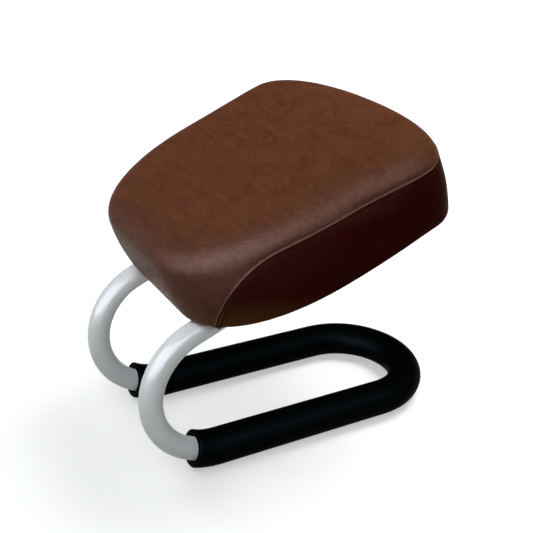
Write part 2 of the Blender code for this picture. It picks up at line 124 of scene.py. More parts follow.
def groupOf(name, inputs, outputs):
    # inputs named with their defaults: a vector has none, a colour True
    group = bpy.data.node_groups.new(name, "ShaderNodeTree")
    for label, value in inputs.items():
        kind = {type(None): "Vector", bool: "Color", float: "Float"}[type(value)]
        socket = group.interface.new_socket(name=label, in_out="INPUT", socket_type="NodeSocket" + kind)
        if kind == "Float":
            socket.default_value = value
    for label, kind in outputs.items():
        group.interface.new_socket(name=label, in_out="OUTPUT", socket_type="NodeSocket" + kind)
    return group, group.nodes.new("NodeGroupInput").outputs, group.nodes.new("NodeGroupOutput")


def makeGrainGroup():
    # rounded pebbles with creases between them, as pressed into leatherette
    group, given, made = groupOf(
        "leatherGrain", {"Vector": None, "Pebbles per metre": 900.0, "Unevenness": 0.35},
        {"Height": "Float", "Crease": "Float"})
    warp = addNode(group, "TexNoise", Vector=given["Vector"], Scale=320.0, Detail=2.0)
    drift = mathNode(group, "MULTIPLY_ADD", warp.outputs["Color"], (0.0012, 0.0012, 0.0012), given["Vector"],
                     kind="VectorMath")
    cells = addNode(group, "TexVoronoi")
    cells.feature = "DISTANCE_TO_EDGE"
    setInputs(group, cells, Vector=drift.outputs[0], Scale=given["Pebbles per metre"])
    edge = cells.outputs["Distance"]
    domes = remapNode(group, edge, 0.0, 0.35, 0.0, 1.0, smooth=True)
    uneven = multiply(group, noiseNode(group, given["Vector"], 2600.0, 2.0), given["Unevenness"])
    setInputs(group, made, Height=mathNode(group, "ADD", domes, uneven).outputs[0],
              Crease=remapNode(group, edge, 0.02, 0.22, 1.0, 0.0, smooth=True))
    return group


def makeToneGroup():
    # slow drift between three tones of one dye, with faint streaks
    group, given, made = groupOf(
        "toneDrift", {"Vector": None, "Base": True, "Darker": True, "Warmer": True,
                      "Patches per metre": 28.0, "Amount": 0.6},
        {"Color": "Color", "Drift": "Float"})
    clouds = noiseNode(group, given["Vector"], given["Patches per metre"], 6.0, 0.72)
    stretch = addNode(group, "Mapping", Vector=given["Vector"], Scale=(0.55, 1.9, 1.0),
                      Location=(0.37, 0.11, 0.73), Rotation=(0.0, 0.0, math.radians(35)))
    streaks = noiseNode(group, stretch.outputs["Vector"], 75.0, 4.0, 0.7)
    dark = remapNode(group, clouds, 0.46, 0.57, 0.0, given["Amount"], smooth=True)
    warm = remapNode(group, streaks, 0.48, 0.60, 0.0, given["Amount"], smooth=True)
    tone = mixColors(group, dark, given["Base"], given["Darker"])
    setInputs(group, made, Color=mixColors(group, warm, tone, given["Warmer"]), Drift=clouds)
    return group


def makeSpeckGroup():
    # fine all-over texture: foam skin, paint and felt
    group, given, made = groupOf(
        "fineSpeck",
        {"Vector": None, "Coarse per metre": 300.0, "Fine per metre": 1800.0, "Fine share": 0.5},
        {"Height": "Float", "Patch": "Float"})
    coarse = noiseNode(group, given["Vector"], given["Coarse per metre"], 3.0)
    fine = noiseNode(group, given["Vector"], given["Fine per metre"], 2.0)
    height = mathNode(group, "ADD", coarse, multiply(group, fine, given["Fine share"])).outputs[0]
    setInputs(group, made, Height=height, Patch=coarse)
    return group


grainGroup = makeGrainGroup()
toneGroup = makeToneGroup()
speckGroup = makeSpeckGroup()


# Materials

def newMaterial(name, color, roughness, metallic=0.0, specular=0.5, tint=(1, 1, 1)):
    # the material, its tree, its shader and a place in object coordinates
    made = bpy.data.materials.new(name)
    made.use_nodes = True
    tree = made.node_tree
    shader = setInputs(tree, tree.nodes["Principled BSDF"], Base_Color=color, Roughness=roughness,
                       Metallic=metallic, Specular_IOR_Level=specular, Specular_Tint=tint)
    return made, tree, shader, addNode(tree, "TexCoord").outputs["Object"]


def useGroup(tree, group, **inputs):
    node = tree.nodes.new("ShaderNodeGroup")
    node.node_tree = group
    return setInputs(tree, node, **inputs).outputs


def addBump(tree, shader, height, distance):
    bump = addNode(tree, "Bump", Strength=1.0, Distance=distance, Height=height)
    setInputs(tree, shader, Normal=bump.outputs["Normal"])


leather = {
    "top": {"base": (0.0832, 0.0267, 0.0107), "darker": (0.0642, 0.0180, 0.0067),
            "warmer": (0.0967, 0.0305, 0.0114), "sheenAndWornTone": (0.34, 0.17, 0.125), "specular": 0.027},
    # the side band's tones are the top leather's tones darkened: painted shade for the band's shaded sides
    "side": {"base": (0.033, 0.0022, 0.0004), "darker": (0.025, 0.0028, 0.0004),
             "warmer": (0.037, 0.0022, 0.0003), "sheenAndWornTone": (0.085, 0.030, 0.018), "specular": 0.004},
    "patches": 42.0,         # per metre
    "pebbles": 430.0,        # per metre
    "grainDepth": 0.00025,
    "creaseTone": 0.45,      # how dark the creases of the grain are
    "creaseRoughness": 0.22,
    "roughness": (0.25, 0.32),
    "paintedSeamShadeTone": (0.006, 0.002, 0.001),
    "paintedSeamShade": 0.78,       # painted shade: how much darker the leather is down in the seam
    "lipSheenAndWear": 0.75,         # painted highlight with some stretch wear: how much lighter on the lip beside it
}
# painted floor bounce: a paler tone low at the band's front, for light reflected up from the floor, and how
# far it reaches along the seat and up
paintedFloorBounce = {"tone": (0.070, 0.029, 0.0090), "along": 0.09, "up": 0.035, "start": 1.5, "most": 0.9}
drift = (0.35, 0.65)         # the patches' values that the roughness is spread over


# painted floor bounce, strongest low at the band's front and fading along the seat and upward
def paintedBounceShare(tree, place):
    way = armWay / paintedFloorBounce["along"] + seatUp / paintedFloorBounce["up"]
    far = mathNode(tree, "DOT_PRODUCT", place, way, kind="VectorMath").outputs["Value"]
    near = mathNode(tree, "SUBTRACT", seatFrame.translation.dot(way) + paintedFloorBounce["start"], far)
    near.use_clamp = True
    return multiply(tree, near.outputs[0], paintedFloorBounce["most"])


def seamShare(tree, layer):
    # a weight stored on the cover's points, times its strength
    stored = addNode(tree, "Attribute")
    stored.attribute_name = layer
    return multiply(tree, stored.outputs["Fac"], leather[layer])


def makeLeather(name, tones, withPaintedBounce=False):
    made, tree, shader, place = newMaterial(name, tones["base"], 0.5, specular=tones["specular"])
    tone = useGroup(tree, toneGroup, Vector=place, Base=tones["base"], Darker=tones["darker"],
                    Warmer=tones["warmer"], Patches_per_metre=leather["patches"], Amount=1.0)
    grain = useGroup(tree, grainGroup, Vector=place, Pebbles_per_metre=leather["pebbles"])
    creased = multiply(tree, grain["Crease"], leather["creaseTone"])
    color = mixColors(tree, creased, tone["Color"], tones["darker"])
    # painted floor bounce on the band's low front
    if withPaintedBounce:
        color = mixColors(tree, paintedBounceShare(tree, place), color, paintedFloorBounce["tone"])
    # painted highlight, with some stretch wear, on the seam's lip and the second fold's top
    color = mixColors(tree, seamShare(tree, "lipSheenAndWear"), color, tones["sheenAndWornTone"])
    # painted shade down in the seam's valley and the low crease
    color = mixColors(tree, seamShare(tree, "paintedSeamShade"), color, leather["paintedSeamShadeTone"])
    even = remapNode(tree, tone["Drift"], *drift, *leather["roughness"])
    rougher = multiply(tree, grain["Crease"], leather["creaseRoughness"])
    setInputs(tree, shader, Base_Color=color, Roughness=mathNode(tree, "ADD", even, rougher).outputs[0])
    addBump(tree, shader, grain["Height"], leather["grainDepth"])
    return made


topLeather = makeLeather("brownLeatherette", leather["top"])
# the side band: the same leather, darkened by painted shade
shadedSideLeather = makeLeather("brownLeatheretteSidePaintedShade", leather["side"], withPaintedBounce=True)

paint = {
    "color": (0.83, 0.865, 0.88), "dusty": (0.76, 0.79, 0.80), "warmer": (0.85, 0.86, 0.85),
    "patches": 14.0, "amount": 0.25, "roughness": (0.26, 0.36), "specular": 0.046, "tint": (0.86, 0.95, 1.0),
    "coat": 0.05, "coatRoughness": 0.12, "specks": (420.0, 1500.0, 0.25), "orangePeel": 0.00004,
}


def addSpecks(tree, place, specks):
    # specks hold how many coarse and fine ones there are in a metre, and the fine ones' share
    coarse, fine, share = specks
    return useGroup(tree, speckGroup, Vector=place, Coarse_per_metre=coarse, Fine_per_metre=fine,
                    Fine_share=share)


def makePaint():
    made, tree, shader, place = newMaterial("pearlWhitePaint", paint["color"], 0.3,
                                            specular=paint["specular"], tint=paint["tint"])
    tone = useGroup(tree, toneGroup, Vector=place, Base=paint["color"], Darker=paint["dusty"],
                    Warmer=paint["warmer"], Patches_per_metre=paint["patches"], Amount=paint["amount"])
    setInputs(tree, shader, Base_Color=tone["Color"], Coat_Weight=paint["coat"],
              Coat_Roughness=paint["coatRoughness"],
              Roughness=remapNode(tree, tone["Drift"], *drift, *paint["roughness"]))
    addBump(tree, shader, addSpecks(tree, place, paint["specks"])["Height"], paint["orangePeel"])
    return made


pearlPaint = makePaint()


def speckled(name, color, roughness, specks, depth, tones=None, span=None, gloss=None, **looks):
    # fine specks, with a second tone and a change of gloss from patch to patch; span maps patches to tones
    made, tree, shader, place = newMaterial(name, color, roughness, **looks)
    speck = addSpecks(tree, place, specks)
    if tones:
        amount = remapNode(tree, speck["Patch"], *span) if span else speck["Patch"]
        setInputs(tree, shader, Base_Color=mixColors(tree, amount, *tones))
    if gloss:
        setInputs(tree, shader, Roughness=remapNode(tree, speck["Patch"], 0.3, 0.7, *gloss))
    addBump(tree, shader, speck["Height"], depth)
    return made


blackFoam = speckled("blackFoamSkin", (0.0003, 0.0006, 0.0006), 0.5, (520.0, 2400.0, 0.6), 0.00010,
                     tones=((0.0003, 0.0006, 0.0006), (0.0010, 0.0014, 0.0016)),
                     span=(0.5, 0.75, 0.0, 0.7, True), gloss=(0.42, 0.56), specular=0.0055,
                     tint=(0.55, 0.85, 1.0))
felt = speckled("blackFelt", (0.014, 0.014, 0.015), 0.95, (1100.0, 3800.0, 1.0), 0.0003,
                tones=((0.009, 0.009, 0.010), (0.035, 0.034, 0.033)), span=(0.4, 0.7, 0.0, 1.0),
                specular=0.15)
zinc = speckled("zincSteel", (0.56, 0.57, 0.58), 0.35, (260.0, 2200.0, 0.3), 0.00003,
                tones=((0.60, 0.61, 0.62), (0.42, 0.42, 0.40)), span=(0.4, 0.7, 0.0, 0.8), gloss=(0.28, 0.5),
                metallic=1.0)
plugPlastic = speckled("blackPlugPlastic", (0.014, 0.014, 0.015), 0.5, (700.0, 2600.0, 0.7), 0.00005,
                       gloss=(0.42, 0.6), specular=0.4)
creamFoam = speckled("creamSeatFoam", (0.80, 0.74, 0.52), 0.95, (900.0, 3000.0, 0.8), 0.0004,
                     tones=((0.84, 0.78, 0.55), (0.66, 0.58, 0.36)), specular=0.1)


def makePlywood():
    made, tree, shader, place = newMaterial("birchPlywood", (0.55, 0.40, 0.24), 0.65, specular=0.3)
    stretch = addNode(tree, "Mapping", Vector=place, Scale=(1.0, 0.12, 1.0)).outputs["Vector"]
    rings = addNode(tree, "TexWave", Vector=stretch, Scale=26.0, Distortion=6.0, Detail=3.0)
    fibre = noiseNode(tree, stretch, 900.0, 3.0)
    streak = multiply(tree, rings.outputs["Fac"], fibre)
    setInputs(tree, shader, Base_Color=mixColors(tree, streak, (0.60, 0.45, 0.28), (0.42, 0.28, 0.15)))
    addBump(tree, shader, fibre, 0.0001)
    return made


def makeThread():
    made, tree, shader, place = newMaterial("brownThread", (0.034, 0.008, 0.004), 0.7, specular=0.03)
    twist = addNode(tree, "TexWave", Vector=place, Scale=700.0)
    twist.bands_direction = "DIAGONAL"
    twist = twist.outputs["Fac"]
    setInputs(tree, shader, Base_Color=mixColors(tree, twist, (0.024, 0.004, 0.002), (0.046, 0.012, 0.006)))
    addBump(tree, shader, twist, 0.0001)
    return made


plywood = makePlywood()
thread = makeThread()
print("materials made")


# Small helpers for pieces

def newPiece(name, bm, mat):
    mesh = bpy.data.meshes.new(name)
    bm.to_mesh(mesh)
    bm.free()
    mesh.materials.append(mat)
    piece = bpy.data.objects.new(name, mesh)
    bpy.context.scene.collection.objects.link(piece)
    return piece


def applyModifiers(piece):
    bpy.context.view_layer.update()
    view = piece.evaluated_get(bpy.context.evaluated_depsgraph_get())
    mesh = bpy.data.meshes.new_from_object(view, preserve_all_data_layers=True,
                                           depsgraph=bpy.context.evaluated_depsgraph_get())
    old = piece.data
    piece.modifiers.clear()
    piece.data = mesh
    mesh.name = piece.name
    bpy.data.meshes.remove(old)


def smoothShade(piece, angle):
    piece.data.shade_smooth()
    piece.data.set_sharp_from_angle(angle=math.radians(angle))


def subtract(piece, cutterMesh):
    # takes the cutter's shape out of the piece for good
    cutter = bpy.data.objects.new("cutter", cutterMesh)
    bpy.context.scene.collection.objects.link(cutter)
    mod = piece.modifiers.new("cut", "BOOLEAN")
    mod.operation = "DIFFERENCE"
    mod.solver = "EXACT"
    mod.object = cutter
    applyModifiers(piece)
    bpy.data.objects.remove(cutter)


def rodMesh(name, spots, radius, low, high, sides):
    # upright rods in seat space, to cut holes with
    bm = bmesh.new()
    for spot in spots:
        where = Matrix.Translation((*spot, (low + high) / 2))
        bmesh.ops.create_cone(bm, cap_ends=True, segments=sides, radius1=radius, radius2=radius,
                              depth=high - low, matrix=seatFrame @ where)
    mesh = bpy.data.meshes.new(name)
    bm.to_mesh(mesh)
    bm.free()
    return mesh


# Frame tube and floor sleeve, swept by extruding and spinning one ring

sweep = {"sides": 56, "bendSteps": 30, "rearSteps": 36, "sleeveSides": 64}
sleeve = {
    "radius": 0.0205,
    "turns": (math.radians(23.5), math.radians(29.0)),     # how far the right and left ends climb the bends
    "drag": (0.0082, 0.0125),    # how far the outer side of each end hangs back from the inner side
    "lead": (0.0027, 0.0045),    # how far the inner side runs ahead
    "endRound": 0.0016,
    "rings": 22,                 # along each floor leg
}


def ringAt(bm, place, along, radius, sides):
    where = Matrix.Translation(place) @ along.to_track_quat("Z", "X").to_matrix().to_4x4()
    made = bmesh.ops.create_circle(bm, segments=sides, radius=radius, matrix=where)
    return list({edge for vert in made["verts"] for edge in vert.link_edges})


def pushRing(bm, ring, way, steps=1):
    for _ in range(steps):
        old = {v for e in ring for v in e.verts}
        made = bmesh.ops.extrude_edge_only(bm, edges=ring)
        ring = [g for g in made["geom"] if isinstance(g, bmesh.types.BMEdge) and not old & set(g.verts)]
        bmesh.ops.translate(bm, vec=way / steps, verts=list({v for e in ring for v in e.verts}))
    return ring


def spinRing(bm, ring, centre, axis, angle, steps):
    verts = list({v for e in ring for v in e.verts})
    made = bmesh.ops.spin(bm, geom=verts + ring, cent=centre, axis=axis, angle=angle, steps=steps,
                          use_merge=False, use_duplicate=False)
    return [g for g in made["geom_last"] if isinstance(g, bmesh.types.BMEdge)]


def sweepLoop(radius, sides, turnRight, turnLeft, armLength, legRings):
    # from the right side's front end round the floor loop to the left side's
    bm = bmesh.new()
    bend, run, high, frontY = (stool[key] for key in ("bendRadius", "floorRun", "axisHeight", "shift"))

    def stepsOf(turn):
        return max(3, round(sweep["bendSteps"] * turn / stool["frontTurn"]))

    centre = Vector((legX, frontY, high + bend))
    start = centre + Vector((0, -math.sin(turnRight), -math.cos(turnRight))) * bend
    along = Vector((0, math.cos(turnRight), -math.sin(turnRight)))
    ring = ringAt(bm, start - along * armLength, along, radius, sides)
    if armLength:
        ring = pushRing(bm, ring, along * armLength)
    ring = spinRing(bm, ring, centre, (1, 0, 0), turnRight, stepsOf(turnRight))
    ring = pushRing(bm, ring, Vector((0, run, 0)), legRings)
    ring = spinRing(bm, ring, (0, frontY + run, high), (0, 0, 1), math.pi, sweep["rearSteps"])
    ring = pushRing(bm, ring, Vector((0, -run, 0)), legRings)
    ring = spinRing(bm, ring, (-legX, frontY, high + bend), (1, 0, 0), -turnLeft, stepsOf(turnLeft))
    if armLength:
        back = Vector((0, math.cos(turnLeft), -math.sin(turnLeft)))
        pushRing(bm, ring, -back * armLength)
    bmesh.ops.recalc_face_normals(bm, faces=bm.faces)
    return bm


def roundEdges(bm, edges, size, segments):
    return bmesh.ops.bevel(bm, geom=edges, offset=size, segments=segments, profile=0.5, affect="EDGES",
                           material=-1)["faces"]


def hollow(piece, wall, even=True):
    mod = piece.modifiers.new("wall", "SOLIDIFY")
    mod.thickness = wall
    mod.offset = -1
    mod.use_even_offset = even
    applyModifiers(piece)


boltSpots = [(side * legX, along) for side in (-1, 1) for along in (0.046, 0.222)]


def makeFrameTube():
    turn = stool["frontTurn"]
    bm = sweepLoop(stool["tubeRadius"], sweep["sides"], turn, turn, stool["armLength"], 1)
    tube = newPiece("frameTube", bm, pearlPaint)
    hollow(tube, stool["tubeWall"])
    subtract(tube, rodMesh("boltHoles", boltSpots, stool["boltHole"], armHeight - 0.03, armHeight + 0.03, 32))
    smoothShade(tube, 50)
    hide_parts("frame_tube")
    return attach(tube, "root")


def leanEnds(bm):
    # slides the ends along the bends, most on the outer side
    centre = Vector((stool["shift"], stool["axisHeight"] + stool["bendRadius"]))
    for vert in bm.verts:
        ahead, below = centre.x - vert.co.y, centre.y - vert.co.z
        end = 0 if vert.co.x > 0 else 1
        share = math.atan2(ahead, below) / sleeve["turns"][end]
        if share <= 0 or vert.co.y > stool["shift"]:
            continue
        reach = math.hypot(ahead, below)
        outer = (reach - stool["bendRadius"] + sleeve["radius"]) / (2 * sleeve["radius"])
        back = (sleeve["drag"][end] * outer - sleeve["lead"][end]) * share * share / reach
        bmesh.ops.rotate(bm, verts=[vert], cent=(vert.co.x, centre.x, centre.y),
                         matrix=Matrix.Rotation(back, 3, "X"))


def makeFoamSleeve():
    bm = sweepLoop(sleeve["radius"], sweep["sleeveSides"], *sleeve["turns"], 0, sleeve["rings"])
    piece = newPiece("foamSleeve", bm, blackFoam)
    hollow(piece, sleeve["radius"] - stool["tubeRadius"] - stool["fit"])
    bm = bmesh.new()
    bm.from_mesh(piece.data)
    leanEnds(bm)
    sharp = [e for e in bm.edges if len(e.link_faces) == 2 and e.calc_face_angle() > math.radians(60)]
    roundEdges(bm, sharp, sleeve["endRound"], 3)
    for vert in bm.verts:
        vert.co.z = max(vert.co.z, 0.0)      # pressed flat on the floor
    bm.to_mesh(piece.data)
    bm.free()
    smoothShade(piece, 50)
    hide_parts("foam_sleeve")
    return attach(piece, "root")


makeFrameTube()
makeFoamSleeve()
print("frame tube and sleeve made")


# Seat form, in seat space

seat = {
    "front": 0.0024,
    "length": 0.3016,
    "half": 0.1628,
    "hipIn": 0.001,
    "frontFlat": 0.059,
    "shoulder": 0.144,
    "sideRun": 0.1067,
    "cornerPull": (0.043, 0.110),
    "sidePull": (0.060, 0.020),
    "rearPull": (0.053, 0.058),
    "splay": 0.046,
    "brim": {"forward": 0.004, "back": 0.010, "inward": 0.009, "outward": 0.0025},
    "brimHeight": 0.0674,
    "brimFall": 0.0019,
    "sideBulge": 0.0028,
    "rollIn": 0.0306,
    "rollUp": 0.0168,
    "rollFull": 0.85,        # below 1 fills the rolled edge out
    "rollDrop": 0.007,       # how far the roll reaches down where the seam has left the brim
    "bow": 0.0073,
    "crown": 0.006,
    "crownBack": 0.003,
    "fold": 0.0026,
    "margin": 0.022,
    "boardTop": 0.0135,
    "cover": 0.0012,
}
seam = {
    "footX": 0.106,          # where it starts at the bottom edge
    "sweep": 0.104,          # along the edge until it reaches the brim
    "power": 2.4,
}


def bezier(start, pullA, pullB, end, steps):
    t = np.linspace(0, 1, steps + 1)[:, None]
    a, b, c, d = (np.array(p) for p in (start, pullA, pullB, end))
    return (1 - t)**3 * a + 3 * (1 - t)**2 * t * b + 3 * (1 - t) * t * t * c + t**3 * d


def halfPlan(forward=0.0, back=0.0, inward=0.0, outward=0.0):
    # right half of the plan, front centre to rear centre
    front = seat["front"] - forward
    shoulder = seat["front"] + seat["shoulder"]
    side = shoulder + seat["sideRun"]
    rear = seat["front"] + seat["length"] + back
    wide, hip, flat = seat["half"] - inward, seat["half"] - seat["hipIn"] + outward, seat["frontFlat"]
    leanX, leanY = math.sin(seat["splay"]), math.cos(seat["splay"])
    pull, run = seat["cornerPull"], seat["sidePull"]
    straight = bezier((0, front), (flat / 3, front), (flat * 2 / 3, front), (flat, front), 20)
    corner = bezier((flat, front), (flat + pull[0], front),
                    (wide - leanX * pull[1], shoulder - leanY * pull[1]), (wide, shoulder), 60)
    flank = bezier((wide, shoulder), (wide + leanX * run[0], shoulder + leanY * run[0]),
                   (hip, side - run[1]), (hip, side), 40)
    tail = bezier((hip, side), (hip, side + seat["rearPull"][0]), (seat["rearPull"][1], rear), (0, rear), 60)
    return np.vstack([straight[:-1], corner[:-1], flank[:-1], tail])


def outwardNormals(plan):
    along = np.gradient(plan, axis=0)
    along /= np.linalg.norm(along, axis=1)[:, None]
    normals = np.column_stack([along[:, 1], -along[:, 0]])
    normals[0], normals[-1] = (0, -1), (0, 1)
    return normals


footPlan = halfPlan()
brimPlan = halfPlan(**seat["brim"])
footNormal = outwardNormals(footPlan)
brimNormal = outwardNormals(brimPlan)
runs = np.concatenate([[0], np.cumsum(np.linalg.norm(np.diff(footPlan, axis=0), axis=1))])
halfRun = runs[-1]
seamFoot = np.interp(seam["footX"], footPlan[:60, 0], runs[:60])
middle = Vector((0, seat["front"] + seat["length"] / 2 + seat["crownBack"], 0))
# the runs where the edge has turned by 45 and by 135 degrees, the plan's two corners
turned = np.unwrap(np.arctan2(footNormal[:, 1], footNormal[:, 0])) + math.pi / 2
cornerRuns = [np.interp(math.radians(a), turned, runs) for a in (45, 135)]


def atRun(table, s):
    return Vector((np.interp(s, runs, table[:, 0]), np.interp(s, runs, table[:, 1])))


def brimHeight(y):
    return seat["brimHeight"] - seat["brimFall"] * y / seat["length"]


def lengthBow(y):
    centre = seat["front"] + seat["length"] / 2
    return seat["bow"] * (1 - ((y - centre) / (seat["length"] / 2 + seat["brim"]["back"]))**2)


def sidePoint(s, height, inset=0.0):
    foot, brim = atRun(footPlan, s), atRun(brimPlan, s)
    q = height / brimHeight(foot.y)
    out = atRun(footNormal, s).lerp(atRun(brimNormal, s), q).normalized()
    spot = foot.lerp(brim, q) + out * (seat["sideBulge"] * math.sin(math.pi * q) - inset)
    return Vector((spot.x, spot.y, height))


def rollStart(s):
    # the height at which the wall turns into the rolled edge
    high = brimHeight(atRun(footPlan, s).y)
    return high - seat["rollDrop"] * (1 - math.exp((seamHeight(s) - high) / seat["rollDrop"]))


def rollPoint(s, angle, inset=0.0):
    brim, out = atRun(brimPlan, s), atRun(brimNormal, s)
    start = sidePoint(s, rollStart(s), inset)
    end = brim - out * seat["rollIn"]
    spot = start.xy.lerp(end, 1 - max(0.0, math.cos(angle))**seat["rollFull"])
    top = brimHeight(atRun(footPlan, s).y) + seat["rollUp"] - inset + lengthBow(brim.y)
    return Vector((spot.x, spot.y, start.z + (top - start.z) * math.sin(angle)))


def topPoint(s, share, inset=0.0):
    spot = middle.lerp(rollPoint(s, math.pi / 2, inset), share)
    crown = seat["crown"] * (1 - share * share)
    height = brimHeight(spot.y) + seat["rollUp"] - inset + lengthBow(spot.y) + crown
    return Vector((spot.x, spot.y, height))


def foldPoint(s, share):
    # round the bottom edge, from the wall at 0 to the underside at 1
    foot, out = atRun(footPlan, s), atRun(footNormal, s)
    angle = share * math.pi / 2
    spot = foot - out * seat["fold"] * (1 - math.cos(angle))
    return Vector((spot.x, spot.y, seat["fold"] * (1 - math.sin(angle))))


def marginPoint(s, share):
    foot, out = atRun(footPlan, s), atRun(footNormal, s)
    spot = foot - out * (seat["fold"] + share * (seat["margin"] - seat["fold"]))
    return Vector((spot.x, spot.y, 0))


def seamHeight(s):
    t = min(1.0, max(0.0, (s - seamFoot) / seam["sweep"]))
    return brimHeight(atRun(footPlan, s).y) * (1 - (1 - t)**seam["power"])


footSlope = brimHeight(0) * seam["power"] / seam["sweep"]


def seamDistance(s, height):
    # how far a spot lies from the seam, above it or in front of it positive
    if height < 0:
        return (seamFoot - s) * footSlope / math.hypot(1, footSlope)
    if s < seamFoot:
        line, slope = footSlope * (s - seamFoot), footSlope
    else:
        step = 0.0005
        line = seamHeight(s)
        slope = (seamHeight(s + step) - seamHeight(s - step)) / (2 * step)
    return (height - line) / math.hypot(1, slope)


# Cushion cover, one grid folded over the seat and blown up by a cloth simulation

cage = {"topRings": 22, "rollRings": 8, "wallRings": 14, "foldRings": 3, "marginRings": 3}
ringTotal = sum(cage.values())
puff = {
    "frames": 20, "quality": 6, "pressure": 1.5, "mass": 0.3, "tension": 25.0, "bending": 2.0,
    "inset": 0.0003,         # the cover starts this far inside its outline
    "insetFade": 0.02,       # and comes out to it over this height above the fold
    "seamGrip": (0.9, 0.006),    # how firmly the seam is held, and how far from it
    "soften": 0.0006,        # eases the lift where the foam holds the cover
    "cap": 0.004,            # highest lift
}


def ringRun(u):
    return float(np.interp(u, [0, 0.25, 0.75, 1], [0, cornerRuns[0], cornerRuns[1], halfRun]))


def ringSpot(ring, s, inset):
    # the place, and the height along the section, of one spot of the cover
    if ring <= cage["topRings"]:
        share = ring / cage["topRings"]
        return topPoint(s, share, inset), 1.0
    ring -= cage["topRings"]
    if ring <= cage["rollRings"]:
        angle = math.pi / 2 * (1 - ring / cage["rollRings"])
        spot = rollPoint(s, angle, inset)
        brim = rollPoint(s, 0, inset)
        return spot, brim.z + (spot - brim).length
    ring -= cage["rollRings"]
    if ring <= cage["wallRings"]:
        high = rollStart(s)
        height = high + (seat["fold"] - high) * ring / cage["wallRings"]
        return sidePoint(s, height, inset * min(1, height / puff["insetFade"])), height
    ring -= cage["wallRings"]
    if ring <= cage["foldRings"]:
        share = ring / cage["foldRings"]
        return foldPoint(s, share), seat["fold"] * (1 - 1.5 * share)
    share = (ring - cage["foldRings"]) / cage["marginRings"]
    return marginPoint(s, share), -seat["fold"] / 2 - share * (seat["margin"] - seat["fold"])


def gridRings(bm, total, spotOf):
    # a square grid whose square rings become the rings of the seat
    runLayer = bm.verts.layers.float.new("edgeRun")
    farLayer = bm.verts.layers.float.new("seamFar")
    made = bmesh.ops.create_grid(bm, x_segments=2 * total, y_segments=2 * total, size=1)
    for vert in made["verts"]:
        i, j = round(vert.co.x * total), round(vert.co.y * total)
        ring = max(abs(i), abs(j))
        if ring == 0:
            u = 0.0
        elif j == -ring:
            u = abs(i) / (4 * ring)
        elif j == ring:
            u = (4 * ring - abs(i)) / (4 * ring)
        else:
            u = (2 * ring + j) / (4 * ring)
        s = ringRun(u)
        spot, height = spotOf(ring, s)
        vert.co = (math.copysign(spot.x, i) if i else 0.0, spot.y, spot.z)
        vert[runLayer] = s
        vert[farLayer] = seamDistance(s, height)
    return made["verts"]


def puffUp(piece):
    # pressure lifts the cover, held at the fold and along the seam; the foam keeps it from sinking in
    pins = piece.vertex_groups.new(name="pins")
    start = np.array([v.co for v in piece.data.vertices])
    outward = np.array([v.normal for v in piece.data.vertices])
    far = piece.data.attributes["seamFar"].data
    grip, reach = puff["seamGrip"]
    for vert in piece.data.vertices:
        held = 1.0 if vert.co.z < seat["fold"] * 1.5 else 0.0
        near = max(0.0, 1 - abs(far[vert.index].value) / reach)
        pins.add([vert.index], max(held, grip * near), "REPLACE")
    cloth = piece.modifiers.new("cloth", "CLOTH")
    options = cloth.settings
    options.quality = puff["quality"]
    options.mass = puff["mass"]
    options.tension_stiffness = puff["tension"]
    options.compression_stiffness = puff["tension"]
    options.shear_stiffness = puff["tension"] / 2
    options.bending_stiffness = puff["bending"]
    options.vertex_group_mass = "pins"
    options.use_pressure = True
    options.uniform_pressure_force = puff["pressure"]
    options.effector_weights.gravity = 0
    cloth.collision_settings.use_collision = False
    scene = bpy.context.scene
    for number in range(1, puff["frames"] + 1):
        scene.frame_set(number)
    view = piece.evaluated_get(bpy.context.evaluated_depsgraph_get())
    moved = np.array([v.co for v in view.data.vertices]) - start
    lift = (moved * outward).sum(axis=1)
    lift = np.minimum((lift + np.sqrt(lift**2 + puff["soften"]**2)) / 2, puff["cap"])
    free = np.linalg.norm(moved, axis=1) > 1e-6
    print(f"cover lifted by {lift.mean() * 1000:.2f} mm, at most {lift.max() * 1000:.2f}")
    piece.modifiers.remove(cloth)
    for vert, way, height, loose in zip(piece.data.vertices, outward, lift, free):
        if loose:
            vert.co = vert.co + Vector(way * height)
    scene.frame_set(1)


def makeCover():
    bm = bmesh.new()
    gridRings(bm, ringTotal, lambda ring, s: ringSpot(ring, s, puff["inset"]))
    bmesh.ops.recalc_face_normals(bm, faces=bm.faces)
    if max(bm.faces, key=lambda f: f.calc_center_median().z).normal.z < 0:
        bmesh.ops.reverse_faces(bm, faces=bm.faces)
    cover = newPiece("cover", bm, topLeather)
    puffUp(cover)
    fine = cover.modifiers.new("fine", "SUBSURF")
    fine.levels = fine.render_levels = 1
    fine.boundary_smooth = "PRESERVE_CORNERS"
    applyModifiers(cover)
    return cover


cover = makeCover()
print("cover formed:", len(cover.data.polygons), "faces")


# Seam, scored into the cover as lines that run beside it

seamLines = [-0.0066, -0.0058, -0.0050, -0.0042, -0.0034, -0.0026, -0.0018, -0.0012, -0.0006, 0.0,
             0.0003, 0.0006, 0.0010, 0.0014, 0.0022, 0.0034, 0.0050, 0.0070]
# distance from the seam, and how far the leather stands out there
seamProfile = [(-0.0066, 0.0), (-0.0042, 0.0), (-0.0018, -0.0002), (-0.0006, -0.0006), (0.0, -0.0008),
               (0.0003, 0.0002), (0.0006, 0.0005), (0.0010, 0.0001), (0.0014, -0.0002), (0.0022, -0.0003),
               (0.0034, -0.0002), (0.0050, -0.0001), (0.0070, 0.0)]
# low down a second fold stands beside the seam, with a crease beyond it
foldProfile = [(-0.0066, 0.0), (-0.0058, -0.0002), (-0.0050, -0.0008), (-0.0042, -0.0001),
               (-0.0034, 0.0008), (-0.0026, 0.0012), (-0.0018, 0.0007), (-0.0006, 0.0)]
secondFold = {"top": 0.052, "bottom": 0.020, "sheenAndWear": 0.55}
